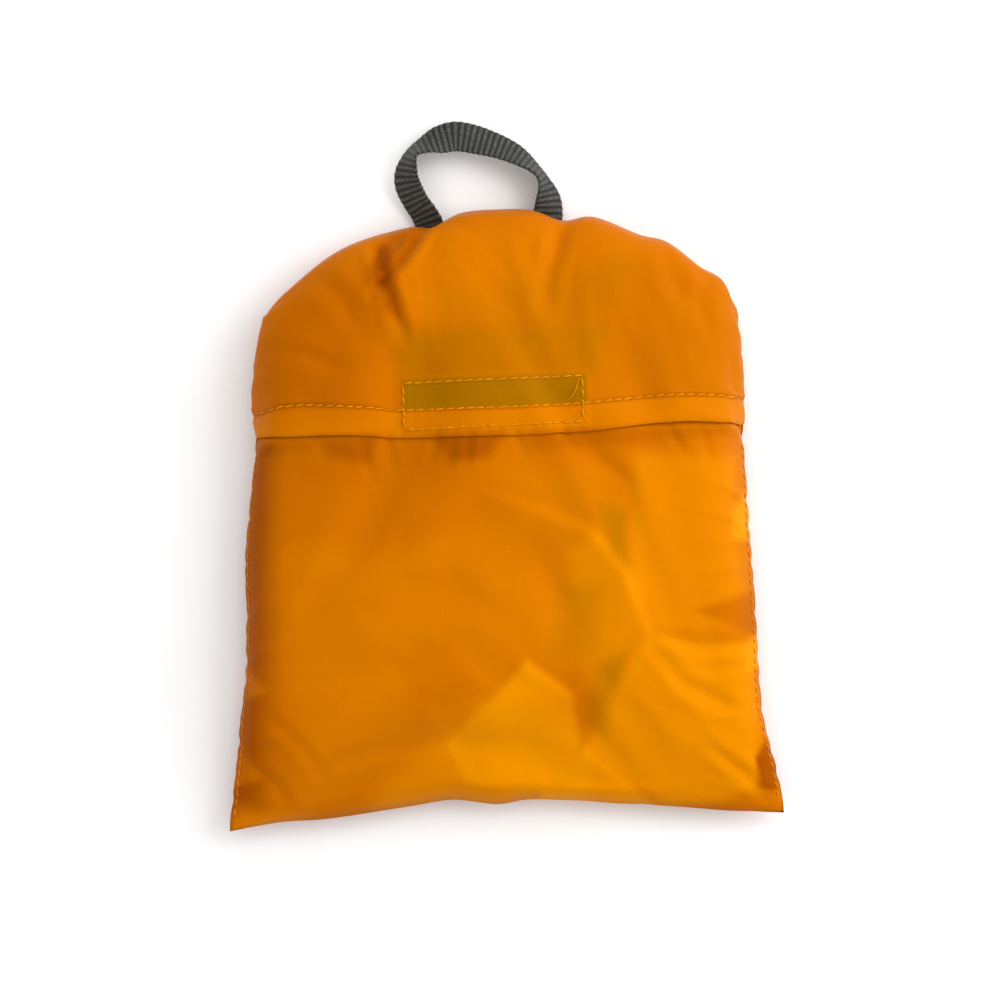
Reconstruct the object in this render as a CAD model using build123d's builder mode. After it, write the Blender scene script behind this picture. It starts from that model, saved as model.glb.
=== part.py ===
"""Small flap-top stuff sack with a webbing grab loop, lying stuffed on its back.

One strip of light nylon runs from the mouth hem down the front, round the bottom fold,
up the back and over the top fold to the flap hem. Both side seams are turned inside.
Frame: +X is the sack's right side, +Y points to the grab loop, +Z comes out of the front.
The origin is the middle of the flat back, on the surface that the sack lies on.
All sizes are in millimetres.
"""

from build123d import *
from math import hypot
import os

# ---- overall size of the stuffed sack -------------------------------------------------
sack_length = 208.0          # bottom fold to top fold
bottom_width = 190.0         # across the bottom fold
top_width = 166.0            # across the shoulders, where they start to curve in
top_fold_width = 36.0        # straight part of the top fold
front_height = 31.0          # crown of the front panel above the flat back
seam_height = 9.0            # height of the side seams above the flat back
top_curve = 44.0             # length of the curved shoulders
bottom_curve = 40.0          # length of the curve into the bottom fold
fold_height = 1.8            # height of the cloth at the bottom and top folds

# ---- cloth, hems and seams ------------------------------------------------------------
cloth = 0.6                  # cloth layer
hem_depth = 10.0             # turned-under hems of the mouth and the flap
flap_length = 77.0           # top fold to flap hem edge
layer_gap = 0.5              # clearance between the flap's layers and the front panel
lid_gap = 0.3                # clearance between the flap's side edges and the side seams
touch = 0.1                  # between layers that are sewn together
seam_clear = 1.6             # side seam's turned-in layers to the cloth beside them
seam_allowance = 7.0         # width of the turned-in side seam
overlock_size = 1.6          # thread edging on the raw seam edges

# ---- hook-and-loop patches ------------------------------------------------------------
patch_width = 62.0
patch_height = 17.0
patch_thickness = 0.9
patch_gap = 0.3              # clearance between the closed hook and loop faces
patch_edge = 1.5             # patch edge to flap hem edge
patch_clear = 0.8            # patch edge to the mouth's stitches

# ---- thread ---------------------------------------------------------------------------
stitch_pitch = 3.8
stitch_length = 2.9
thread = 0.4
stitch_inset = 1.0           # stitches in from a patch's edge
stitch_edge = 1.2            # stitches in from a hem's turned edge

# ---- webbing grab loop ----------------------------------------------------------------
webbing_width = 10.0
webbing_thickness = 1.2
loop_base = 41.4             # between the centres of the two legs at the sack
loop_spread = 49.0           # between the centres of the two legs at their widest
loop_rise = 27.0             # top fold to the centre of the webbing at its top
loop_corner = 14.0           # radius of the webbing's centre line at its upper corners
loop_offset = -3.0           # the loop stands a little left of the middle
loop_height = 3.0            # middle of the webbing above the flat back
loop_hinge_drop = 1.6        # top fold down to where the webbing bends
hinge_gap = 0.4              # between the sewn tails and the free webbing
tail_length = 12.0
bartack_rows = 2
bartack_stitches = 9

# ---- worked out from the sizes above --------------------------------------------------
bottom_y = -sack_length / 2
top_y = sack_length / 2
shoulder_y = top_y - top_curve
waist_y = bottom_y + bottom_curve
flap_y = top_y - flap_length
patch_low = flap_y + patch_edge
patch_high = patch_low + patch_height
mouth_stitch_y = patch_high + patch_clear
mouth_y = mouth_stitch_y + hem_depth - stitch_edge
flap_stitch_y = flap_y + hem_depth - stitch_edge
loop_face = touch + patch_thickness
hook_face = loop_face + patch_gap
hem_face = hook_face + patch_thickness + touch
flap_rise = hem_face + cloth + touch
flap_side = layer_gap + cloth + touch
back_cut = 0.2               # how far the round back is pressed flat by the floor
fold_share = fold_height / 2 / (front_height - seam_height)
back_fold_share = fold_height / 2 / seam_height
big = 4 * sack_length


def clamp(value):
    return min(max(value, 0.0), 1.0)


def round_end(share, power):
    """Quarter of a superellipse: 1 at share 0, falling to 0 at share 1."""
    return (1 - clamp(share) ** power) ** (1 / power)


def fullness(y, end_share):
    """How full the sack is at y: 1 along the middle, end_share at each fold."""
    at_top = round_end((y - shoulder_y) / top_curve, 2.2)
    at_bottom = round_end((waist_y - y) / bottom_curve, 2.2)
    return end_share + (1 - end_share) * min(at_top, at_bottom)


def half_width(y):
    """Half the sack's width at y: flaring to the bottom, rounded at the shoulders."""
    flare = clamp((shoulder_y - y) / (shoulder_y - bottom_y)) ** 1.3
    straight = top_width / 2 + flare * (bottom_width - top_width) / 2
    shoulder = round_end((y - shoulder_y) / top_curve, 1.6)
    return top_fold_width / 2 + shoulder * (straight - top_fold_width / 2)


def front_arch(share):
    """Height of the front's arch, from 1 at the middle to 0 at the side seam."""
    return (1 - abs(share) ** 2.6) ** 0.7


def back_arch(share):
    """Depth of the back's arch: nearly flat, turning up at the side seams."""
    return (1 - abs(share) ** 5) ** 0.8


def crown(y):
    return seam_height + (front_height - seam_height) * fullness(y, fold_share)


def keel(y):
    return seam_height - (seam_height + back_cut) * fullness(y, back_fold_share)


def front_z(x, y, side=0.0, rise=0.0):
    """Height of the front surface, grown by side at the seams and by rise at the crown."""
    share = clamp(abs(x) / (half_width(y) + side))
    return seam_height + (crown(y) + rise - seam_height) * front_arch(share)


def stations(y_low, y_high):
    """Places along Y for a loft's sections, closer together where the sack rounds off."""
    curve = [0.25, 0.45, 0.6, 0.72, 0.82, 0.9, 0.95, 0.985]
    places = [waist_y - bottom_curve * share for share in reversed(curve)]
    places += [waist_y + (shoulder_y - waist_y) * step / 6 for step in range(7)]
    places += [shoulder_y + top_curve * share for share in curve]
    inner = [y for y in places if y_low + cloth < y < y_high - cloth]
    return [y_low] + inner + [y_high]


SEAM_TO_SEAM = [0.0, 0.2, 0.4, 0.58, 0.74, 0.87, 0.95, 1.0]


def sheet(outer, inner, y_low, y_high):
    """Layer of cloth between two arched surfaces, each a function of y that gives its points."""
    with BuildPart() as solid:
        for y in stations(y_low, y_high):
            with BuildSketch(Plane.XZ.offset(-y)):
                with BuildLine():
                    outside = Spline(*outer(y))
                    inside = Spline(*inner(y))
                    Line(outside @ 0, inside @ 0)
                    Line(outside @ 1, inside @ 1)
                make_face()
        loft(ruled=True)
    return solid.part


def arch(curve, half, base, top, reach=None):
    """Points of an arch from seam to seam, or out to reach on each side of the middle."""
    limit = min(reach / half, 1.0) if reach else 1.0
    shares = [limit * share for share in SEAM_TO_SEAM]
    across = [-share for share in reversed(shares)] + shares[1:]
    return [(half * u, base + (top - base) * curve(u)) for u in across]


def front_layer(side, rise, reach=None, lift=0.0):
    """Front surface grown by side at the seams and by rise at the crown."""
    return lambda y: arch(front_arch, half_width(y) + side, seam_height + lift, crown(y) + rise, reach)


def back_layer(side, rise):
    """Back surface grown by side at the seams and by rise underneath."""
    return lambda y: arch(back_arch, half_width(y) + side, seam_height, keel(y) - rise)


def block(x_low, x_high, y_low, y_high, z_low, z_high):
    """Plain block between two corners, used to cut the sack shape into panels."""
    with BuildPart() as solid:
        with BuildSketch(Plane.XY.offset(z_low)):
            with Locations(((x_low + x_high) / 2, (y_low + y_high) / 2)):
                Rectangle(x_high - x_low, y_high - y_low)
        extrude(amount=z_high - z_low)
    return solid.part


def stitch(start, end):
    """One straight stitch of thread between two points on the cloth."""
    run = Vector(*end) - Vector(*start)
    middle = Vector(*start) + run / 2
    across = Vector(0, 1, 0) if abs(run.X) > abs(run.Y) else Vector(1, 0, 0)
    with BuildPart(Plane(origin=middle, x_dir=run, z_dir=run.cross(across))) as solid:
        Box(run.length, thread, thread)
    return solid.part


def stitch_row(place, start, end):
    """A row of stitches: place(t) gives the point of the cloth at t, from start to end."""
    count = int((end - start) / stitch_pitch)
    margin = (end - start - count * stitch_pitch) / 2
    with BuildPart() as solids:
        for number in range(count):
            middle = start + margin + (number + 0.5) * stitch_pitch
            add(stitch(place(middle - stitch_length / 2), place(middle + stitch_length / 2)))
    return solids.part


def finish(solid, name):
    solid.part.label = name
    export_step(solid.part, f"parts/{name}.step")


os.makedirs("parts", exist_ok=True)

# Back panel: from the bottom fold to the top fold, pressed flat where it lies.
with BuildPart() as back_panel:
    add(sheet(back_layer(0, 0), back_layer(-cloth, -cloth), bottom_y, top_y))
    add(block(-big, big, -big, big, -big, 0), mode=Mode.SUBTRACT)
finish(back_panel, "back_panel")

# Front panel: from the bottom fold up to the mouth.
with BuildPart() as front_panel:
    add(sheet(front_layer(0, 0), front_layer(-cloth, -cloth), bottom_y, mouth_y))
finish(front_panel, "front_panel")

# Mouth hem: the front panel's upper edge, turned under to the inside.
hem_reach = top_width / 2 - seam_allowance
with BuildPart() as mouth_hem:
    add(sheet(front_layer(-cloth - touch, -cloth - touch, hem_reach),
              front_layer(-2 * cloth - touch, -2 * cloth - touch, hem_reach), mouth_y - hem_depth, mouth_y))
finish(mouth_hem, "mouth_hem")

# Flap: the cloth that comes over the top fold and hangs down the front.
with BuildPart() as flap_panel:
    add(sheet(front_layer(flap_side + cloth, flap_rise + cloth, lift=lid_gap),
              front_layer(flap_side, flap_rise, lift=lid_gap), flap_y, top_y))
finish(flap_panel, "flap_panel")

# Flap hem: the flap's lower edge, turned under.
with BuildPart() as flap_hem:
    add(sheet(front_layer(layer_gap + cloth, hem_face + cloth, hem_reach, lid_gap),
              front_layer(layer_gap, hem_face, hem_reach, lid_gap), flap_y, flap_y + hem_depth))
finish(flap_hem, "flap_hem")

# Hook-and-loop patches: hooks under the flap, loops on the front panel, face to face.
patch_reach = patch_width / 2
with BuildPart() as loop_patch:
    add(sheet(front_layer(layer_gap, loop_face, patch_reach), front_layer(touch, touch, patch_reach),
              patch_low, patch_high))
finish(loop_patch, "loop_patch")

with BuildPart() as hook_patch:
    add(sheet(front_layer(layer_gap, hook_face + patch_thickness, patch_reach),
              front_layer(layer_gap, hook_face, patch_reach), patch_low, patch_high))
finish(hook_patch, "hook_patch")


# Stitching: rows of single stitches, half sunk in the cloth that they hold.
def on_flap(x, y):
    return (x, y, front_z(x, y, flap_side + cloth, flap_rise + cloth))


def on_front(x, y):
    return (x, y, front_z(x, y))


def on_loop_patch(x, y):
    return (x, y, front_z(x, y, layer_gap, loop_face))


def box_stitching(surface):
    """Stitches round the four sides of a patch."""
    side_x = patch_width / 2 - stitch_inset
    low = patch_low + stitch_inset
    high = patch_high - stitch_inset
    with BuildPart() as solids:
        for y in (low, high):
            add(stitch_row(lambda x: surface(x, y), -side_x, side_x))
        for x in (-side_x, side_x):
            add(stitch_row(lambda y: surface(x, y), low + thread, high - thread))
    return solids.part


with BuildPart() as flap_hem_stitching:
    add(stitch_row(lambda x: on_flap(x, flap_stitch_y), -hem_reach, -patch_width / 2))
    add(stitch_row(lambda x: on_flap(x, flap_stitch_y), -patch_width / 2 + stitch_pitch,
                   patch_width / 2 - stitch_pitch))
    add(stitch_row(lambda x: on_flap(x, flap_stitch_y), patch_width / 2, hem_reach))
finish(flap_hem_stitching, "flap_hem_stitching")

with BuildPart() as mouth_hem_stitching:
    add(stitch_row(lambda x: on_front(x, mouth_stitch_y), -hem_reach, hem_reach))
finish(mouth_hem_stitching, "mouth_hem_stitching")

with BuildPart() as hook_patch_stitching:
    add(box_stitching(on_flap))
finish(hook_patch_stitching, "hook_patch_stitching")

with BuildPart() as loop_patch_stitching:
    add(box_stitching(on_loop_patch))
finish(loop_patch_stitching, "loop_patch_stitching")

# Loose thread: the end left over where the box of stitches was started.
thread_x = patch_width / 2 - stitch_inset
thread_y = patch_high - stitch_inset
with BuildPart() as loose_thread:
    add(stitch(on_flap(thread_x - 1.0, thread_y - 1.0), on_flap(thread_x - 4.5, thread_y - 7.5)))
finish(loose_thread, "loose_thread")


# Side seams: both panels' edges, turned inside, stitched and edged with overlock thread.
def seam_line(y, inset):
    return half_width(y) - cloth - inset


seam_low = bottom_y + bottom_curve / 4
seam_high = shoulder_y + top_curve / 2
seam_ys = [seam_low + (seam_high - seam_low) * step / 10 for step in range(11)]


def seam_strip(side, near, far, thickness):
    """Flat strip along a side seam, between two distances in from the cloth."""
    with BuildPart() as solid:
        with BuildSketch(Plane.XY.offset(seam_height - cloth - thickness / 2)):
            with BuildLine():
                outer = Spline(*[(side * seam_line(y, near), y) for y in seam_ys])
                inner = Spline(*[(side * seam_line(y, far), y) for y in seam_ys])
                Line(outer @ 0, inner @ 0)
                Line(outer @ 1, inner @ 1)
            make_face()
        extrude(amount=thickness)
    return solid.part


for side, side_name in ((-1, "left"), (1, "right")):
    with BuildPart() as allowance:
        add(seam_strip(side, seam_clear, seam_allowance, 2 * cloth))
    finish(allowance, f"{side_name}_seam_allowance")

    with BuildPart() as overlock:
        add(seam_strip(side, seam_allowance + touch, seam_allowance + overlock_size, overlock_size))
    finish(overlock, f"{side_name}_overlock")

    with BuildPart() as seam_stitching:
        add(stitch_row(lambda y: (side * seam_line(y, seam_clear + stitch_inset), y, seam_height),
                       seam_low + stitch_pitch, seam_high - stitch_pitch))
    finish(seam_stitching, f"{side_name}_seam_stitching")

# Grab loop: flat webbing, free above the line where it bends at the sack's top.
hinge_y = top_y - loop_hinge_drop
loop_top_y = top_y + loop_rise
with BuildPart() as grab_loop:
    with BuildSketch(Plane.XY.offset(loop_height - webbing_thickness / 2)):
        with BuildLine():
            FilletPolyline((loop_offset - loop_base / 2, hinge_y),
                           (loop_offset - loop_spread / 2, loop_top_y),
                           (loop_offset + loop_spread / 2, loop_top_y),
                           (loop_offset + loop_base / 2, hinge_y), radius=loop_corner)
        trace(line_width=webbing_width)
    extrude(amount=webbing_thickness)
    add(block(-big, big, hinge_y + hinge_gap, big, -big, big), mode=Mode.INTERSECT)
finish(grab_loop, "grab_loop")

# Loop tails: the webbing's two ends, sewn flat to the outside of the back panel.
tail_gap = 0.2
tail_ys = [hinge_y - 2 * hinge_gap - tail_length * step / 4 for step in range(5)]


def under_back(x, y):
    """Height of the back panel's outside at (x, y), less a small gap."""
    share = clamp(abs(x) / half_width(y))
    return seam_height - (seam_height - keel(y)) * back_arch(share) - tail_gap


for side, side_name in ((-1, "left"), (1, "right")):
    tail_x = loop_offset + side * loop_base / 2
    near_x = max(abs(tail_x) - webbing_width / 2, 0)
    with BuildPart() as tail:
        with BuildSketch(Plane.YZ.offset(tail_x - webbing_width / 2)):
            with BuildLine():
                upper = Polyline(*[(y, under_back(near_x, y)) for y in tail_ys])
                lower = Polyline(*[(y, under_back(near_x, y) - webbing_thickness) for y in tail_ys])
                Line(upper @ 0, lower @ 0)
                Line(upper @ 1, lower @ 1)
            make_face()
        extrude(amount=webbing_width)
    finish(tail, f"{side_name}_loop_tail")

    # Bartack: zigzag rows of thread across the tail.
    reach = webbing_width / 2 - 1.0
    with BuildPart() as bartack:
        for row in range(bartack_rows):
            row_y = hinge_y - tail_length * (0.35 + 0.35 * row)
            zig = 2 * reach / bartack_stitches
            for number in range(bartack_stitches):
                x = tail_x - reach + (number + 0.5) * zig
                low_y = row_y - 1.0
                high_y = row_y + 1.0
                low_z = under_back(near_x, low_y) - webbing_thickness
                high_z = under_back(near_x, high_y) - webbing_thickness
                add(stitch((x, low_y, low_z), (x + zig / 4, high_y, high_z)))
    finish(bartack, f"{side_name}_bartack")

flap_hinge_y = top_y + 0.5
print("flap hinge y, z", flap_hinge_y, seam_height + lid_gap)
print("loop hinge y, z", hinge_y, loop_height)
print("mouth y, flap edge y", mouth_y, flap_y)
print("loop top", loop_top_y, "webbing run", hypot(loop_spread, loop_rise))
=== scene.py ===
"""Looks of the small flap-top stuff sack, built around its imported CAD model.

Lengths are in millimetres in the row frame until a mesh is made, and metres in the meshes.
+X is the sack's right, +Y points to the grab loop, +Z comes out of the front.
"""
import math
import random

import bpy
import numpy as np
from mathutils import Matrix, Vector, noise


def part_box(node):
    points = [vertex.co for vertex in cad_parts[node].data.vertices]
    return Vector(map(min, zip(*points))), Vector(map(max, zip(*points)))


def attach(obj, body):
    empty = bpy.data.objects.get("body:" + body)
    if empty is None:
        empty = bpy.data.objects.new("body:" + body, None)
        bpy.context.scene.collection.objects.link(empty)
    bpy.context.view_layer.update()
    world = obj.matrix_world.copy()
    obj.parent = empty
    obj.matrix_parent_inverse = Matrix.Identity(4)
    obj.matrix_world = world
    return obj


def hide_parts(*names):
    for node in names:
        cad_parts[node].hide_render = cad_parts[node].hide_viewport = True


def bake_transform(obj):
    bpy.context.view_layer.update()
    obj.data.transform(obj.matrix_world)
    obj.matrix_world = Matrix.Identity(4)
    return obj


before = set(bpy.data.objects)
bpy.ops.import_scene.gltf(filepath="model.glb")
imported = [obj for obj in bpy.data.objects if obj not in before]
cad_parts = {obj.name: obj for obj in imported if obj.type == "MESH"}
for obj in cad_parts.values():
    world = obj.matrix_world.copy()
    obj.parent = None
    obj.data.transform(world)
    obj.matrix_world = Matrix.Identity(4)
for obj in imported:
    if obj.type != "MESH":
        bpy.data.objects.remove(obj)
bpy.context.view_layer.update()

MM = 0.001
scene = bpy.context.scene

# ---- places taken from the CAD model ---------------------------------------------------
FLAP_LOW, FLAP_HIGH = (Vector(corner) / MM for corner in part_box("flap_panel"))
_, FRONT_HIGH = (Vector(corner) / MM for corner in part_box("front_panel"))
PATCH_LOW, PATCH_HIGH = (Vector(corner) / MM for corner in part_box("hook_patch"))
_, BACK_HIGH = (Vector(corner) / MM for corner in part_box("back_panel"))
SEAM_Z = BACK_HIGH.z
MOUTH_Y = FRONT_HIGH.y
FLAP_Y = FLAP_LOW.y
TOP_Y = BACK_HIGH.y

# ---- camera: straight down on the front, with the sack a little turned in the picture ----
PICTURE_WIDTH = 345.0        # at MIDDLE_HEIGHT above the floor
PICTURE_CENTRE = (0.3, 3.4)
CAMERA_HEIGHT = 1500.0
MIDDLE_HEIGHT = 15.0
SENSOR_WIDTH = 36.0
ROLL = math.radians(-1.8)
camera = bpy.data.objects.new("camera", bpy.data.cameras.new("camera"))
scene.collection.objects.link(camera)
camera.data.sensor_width = SENSOR_WIDTH
camera.data.lens = SENSOR_WIDTH * (CAMERA_HEIGHT - MIDDLE_HEIGHT) / PICTURE_WIDTH
camera.location = Vector((*PICTURE_CENTRE, CAMERA_HEIGHT)) * MM
camera.rotation_euler = (0, 0, ROLL)
scene.camera = camera


# ---- small geometry helpers ------------------------------------------------------------
def between(a, b, c, d, t):
    """Catmull-Rom curve from b to c, as t goes from 0 to 1."""
    return 0.5 * (2 * b + (c - a) * t + (2 * a - 5 * b + 4 * c - d) * t ** 2
                  + (3 * b - a - 3 * c + d) * t ** 3)


def curve_through(points, count):
    """count points, evenly spaced, along a smooth curve through the points."""
    p = np.array(points, float)
    p = np.vstack([2 * p[0] - p[1], p, 2 * p[-1] - p[-2]])
    fine = []
    for k in range(1, len(p) - 2):
        for t in np.linspace(0, 1, 24, endpoint=False):
            fine.append(between(p[k - 1], p[k], p[k + 1], p[k + 2], t))
    fine.append(p[-2])
    fine = np.array(fine)
    run = np.concatenate([[0], np.cumsum(np.linalg.norm(np.diff(fine, axis=0), axis=1))])
    want = np.linspace(0, run[-1], count)
    return np.stack([np.interp(want, run, fine[:, k]) for k in range(fine.shape[1])], axis=1)


def refine_axis(grid, times):
    """Catmull-Rom refinement of a grid of points along its first axis."""
    n = len(grid)
    padded = np.concatenate([[2 * grid[0] - grid[1]], grid, [2 * grid[-1] - grid[-2]]])
    place = np.linspace(0, n - 1, (n - 1) * times + 1)
    k = np.minimum(place.astype(int), n - 2)
    t = (place - k).reshape((-1,) + (1,) * (grid.ndim - 1))
    return between(padded[k], padded[k + 1], padded[k + 2], padded[k + 3], t)


def refine(grid, times):
    once = refine_axis(grid, times)
    return refine_axis(once.swapaxes(0, 1), times).swapaxes(0, 1)


def normals_of(grid):
    """Unit normals of a grid of points, rows along +Y and columns along +X."""
    along_x = np.gradient(grid, axis=1)
    along_y = np.gradient(grid, axis=0)
    n = np.cross(along_x, along_y)
    return n / np.maximum(np.linalg.norm(n, axis=2, keepdims=True), 1e-9)


def smooth_step(low, high, value):
    t = np.clip((value - low) / (high - low), 0, 1)
    return t * t * (3 - 2 * t)


def round_end(share, power):
    """Falls from 1 to 0 like a quarter of a rounded corner as share goes from 0 to 1."""
    return (1 - np.clip(share, 0, 1) ** power) ** (1 / power)


def blur(values, times):
    """Evens out an array along its first axis and leaves its ends in place."""
    values = values.copy()
    for _ in range(times):
        values[1:-1] = 0.25 * values[:-2] + 0.5 * values[1:-1] + 0.25 * values[2:]
    return values


def distance_to(x, y, points):
    """For each (x, y): distance to a line through the points, share of the line passed, and side.

    The side is 1 to the left of the line and -1 to its right.
    """
    points = np.array(points, float)
    lengths = np.linalg.norm(np.diff(points, axis=0), axis=1)
    total = lengths.sum()
    best = np.full(x.shape, 1e9)
    share = np.zeros(x.shape)
    side = np.zeros(x.shape)
    passed = 0.0
    for (ax, ay), (bx, by), length in zip(points[:-1], points[1:], lengths):
        t = np.clip(((x - ax) * (bx - ax) + (y - ay) * (by - ay)) / length ** 2, 0, 1)
        d = np.hypot(x - ax - t * (bx - ax), y - ay - t * (by - ay))
        nearer = d < best
        best = np.where(nearer, d, best)
        share = np.where(nearer, (passed + t * length) / total, share)
        side = np.where(nearer, np.sign((bx - ax) * (y - ay) - (by - ay) * (x - ax)), side)
        passed += length
    return best, share, side


def add_mesh(name, vertices, faces, material):
    mesh = bpy.data.meshes.new(name)
    mesh.from_pydata([tuple(v) for v in np.asarray(vertices) * MM], [], faces)
    mesh.materials.append(material)
    mesh.polygons.foreach_set("use_smooth", [True] * len(mesh.polygons))
    mesh.validate()
    piece = bpy.data.objects.new(name, mesh)
    scene.collection.objects.link(piece)
    return piece


def grid_faces(rows, columns):
    faces = []
    for j in range(rows - 1):
        for i in range(columns - 1):
            a = j * columns + i
            faces.append((a, a + 1, a + columns + 1, a + columns))
    return faces


def back_faces(index):
    """Faces over a grid of vertex numbers, facing the other way from grid_faces."""
    index = index.tolist()
    return [(low[i], high[i], high[i + 1], low[i + 1])
            for low, high in zip(index[:-1], index[1:]) for i in range(len(low) - 1)]


# ---- materials -------------------------------------------------------------------------
class Nodes:
    """Short way to build a node tree: add a node, set its inputs, link its sockets."""

    def __init__(self, name):
        self.material = bpy.data.materials.new(name)
        self.material.use_nodes = True
        self.tree = self.material.node_tree
        self.shader = self.tree.nodes["Principled BSDF"]

    def feed(self, socket, value):
        """Links a socket to another one, or sets its number or colour."""
        if isinstance(value, bpy.types.NodeSocket):
            self.tree.links.new(value, socket)
        else:
            socket.default_value = value

    def add(self, kind, inputs=None, **settings):
        node = self.tree.nodes.new(kind)
        for key, value in settings.items():
            setattr(node, key, value)
        for key, value in (inputs or {}).items():
            self.feed(node.inputs[key], value)
        return node

    def set(self, **values):
        for key, value in values.items():
            self.feed(self.shader.inputs[key.replace("_", " ")], value)

    def place(self):
        return self.add("ShaderNodeTexCoord").outputs["Object"]

    def attribute(self, name):
        return self.add("ShaderNodeAttribute", attribute_name=name).outputs["Fac"]

    def grain(self, scale, detail=2.0, roughness=0.5):
        return self.add("ShaderNodeTexNoise", {"Vector": self.place(), "Scale": scale, "Detail": detail,
                                               "Roughness": roughness}).outputs["Fac"]

    def mix(self, factor, a, b):
        node = self.add("ShaderNodeMix", {0: factor, 6: a, 7: b}, data_type="RGBA")
        return node.outputs[2]

    def ramp(self, value, low, high):
        node = self.add("ShaderNodeMapRange", {"Value": value, "From Min": low, "From Max": high})
        return node.outputs[0]

    def bump(self, height, strength, distance, base=None):
        """Bump of a height in millimetres, on top of another bump where there is one."""
        inputs = {"Height": height, "Strength": strength, "Distance": distance * MM}
        if base is not None:
            inputs["Normal"] = base
        return self.add("ShaderNodeBump", inputs).outputs[0]

    def weave(self, pitch, strength, base):
        """Bump of a plain weave: two sets of threads a pitch apart, in millimetres."""
        scale = 1.0 / (pitch * MM) / WAVE_TURN * 2
        inputs = {"Vector": self.place(), "Scale": scale, "Distortion": 0.4}
        warp, weft = (self.add("ShaderNodeTexWave", inputs, bands_direction=way).outputs["Fac"]
                      for way in "XY")
        both = self.add("ShaderNodeMath", {0: warp, 1: weft}, operation="ADD").outputs[0]
        return self.bump(both, strength, WEAVE_DEPTH, base)

    def crumple(self, size, strength, distance):
        """Bump of small soft creases about size millimetres across."""
        return self.bump(self.grain(1 / (size * MM), 4.0, 0.55), strength, distance)


# A wave texture's scale is twice its bands per metre over this, within 2 %.
WAVE_TURN = 6.2832
WEAVE_DEPTH = 0.08
# The darkest and lightest oranges are shaded and lit copies of the cloth's orange, for painted shade and
# painted light.
ORANGE_PAINTED_SHADE = (0.33, 0.068, 0.0, 1)
ORANGE = (0.51, 0.126, 0.0, 1)
ORANGE_WARM = (0.54, 0.139, 0.0, 1)
ORANGE_PAINTED_LIGHT = (0.74, 0.245, 0.0, 1)
OLIVE = (0.30, 0.125, 0.0, 1)
GLOSS = (1.0, 0.50, 0.08, 1)


def nylon_material():
    """Light orange nylon: fine weave, soft gloss, painted light and painted shade from the shade attribute,
    and what lies under it showing through a little.
    """
    m = Nodes("orange_nylon")
    shade = m.attribute("shade")
    under = m.attribute("under")
    mottled = m.mix(m.ramp(m.grain(28.0, 3.0), 0.35, 0.65), ORANGE, ORANGE_WARM)
    # Painted light where the shade attribute is above a half, painted shade where it is below.
    light = m.mix(m.ramp(shade, 0.5, 1.0), mottled, ORANGE_PAINTED_LIGHT)
    dark = m.mix(m.ramp(shade, 0.5, 0.0), light, ORANGE_PAINTED_SHADE)
    rough = m.add("ShaderNodeMapRange", {"Value": m.grain(160.0), "To Min": 0.36, "To Max": 0.52}).outputs[0]
    m.set(Base_Color=m.mix(under, dark, OLIVE), Roughness=rough,
          Normal=m.weave(0.45, 0.25, m.crumple(11.0, 0.20, 1.0)), IOR=1.15, Specular_IOR_Level=0.25,
          Specular_Tint=GLOSS, Sheen_Weight=0.08, Sheen_Roughness=0.4, Sheen_Tint=GLOSS)
    return m.material


def thread_material():
    m = Nodes("orange_thread")
    colour = m.mix(m.ramp(m.grain(900.0), 0.3, 0.7), (0.50, 0.165, 0.0, 1), (0.76, 0.285, 0.004, 1))
    m.set(Base_Color=colour, Roughness=0.55, Normal=m.crumple(0.5, 0.4, 0.1), IOR=1.22, Specular_Tint=GLOSS)
    return m.material


def webbing_material():
    m = Nodes("grey_webbing")
    yarn = m.mix(m.ramp(m.grain(1400.0, 3.0), 0.3, 0.7), (0.032, 0.032, 0.027, 1), (0.125, 0.125, 0.108, 1))
    # The rib attribute paints shade into the grooves between ribs and yarns, down to near black.
    colour = m.mix(m.ramp(m.attribute("rib"), 0.05, 0.9), (0.010, 0.010, 0.009, 1), yarn)
    m.set(Base_Color=colour, Roughness=0.62, Normal=m.crumple(0.6, 0.5, 0.12), Sheen_Weight=0.08,
          Specular_IOR_Level=0.25)
    return m.material


def patch_material():
    m = Nodes("hook_and_loop")
    fuzz = m.add("ShaderNodeTexVoronoi", {"Vector": m.place(), "Scale": 1300.0}).outputs["Distance"]
    colour = m.mix(m.ramp(fuzz, 0.0, 0.6), (0.10, 0.075, 0.02, 1), (0.25, 0.19, 0.07, 1))
    m.set(Base_Color=colour, Roughness=0.85, Normal=m.bump(fuzz, 0.9, 0.4),
          Sheen_Weight=0.2, Sheen_Tint=OLIVE)
    return m.material


def dark_thread_material():
    m = Nodes("black_thread")
    m.set(Base_Color=m.mix(m.grain(1200.0), (0.02, 0.02, 0.02, 1), (0.06, 0.06, 0.055, 1)), Roughness=0.5,
          Normal=m.crumple(0.5, 0.4, 0.1))
    return m.material


NYLON = nylon_material()
THREAD = thread_material()
WEBBING = webbing_material()
PATCH = patch_material()
DARK_THREAD = dark_thread_material()

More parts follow.
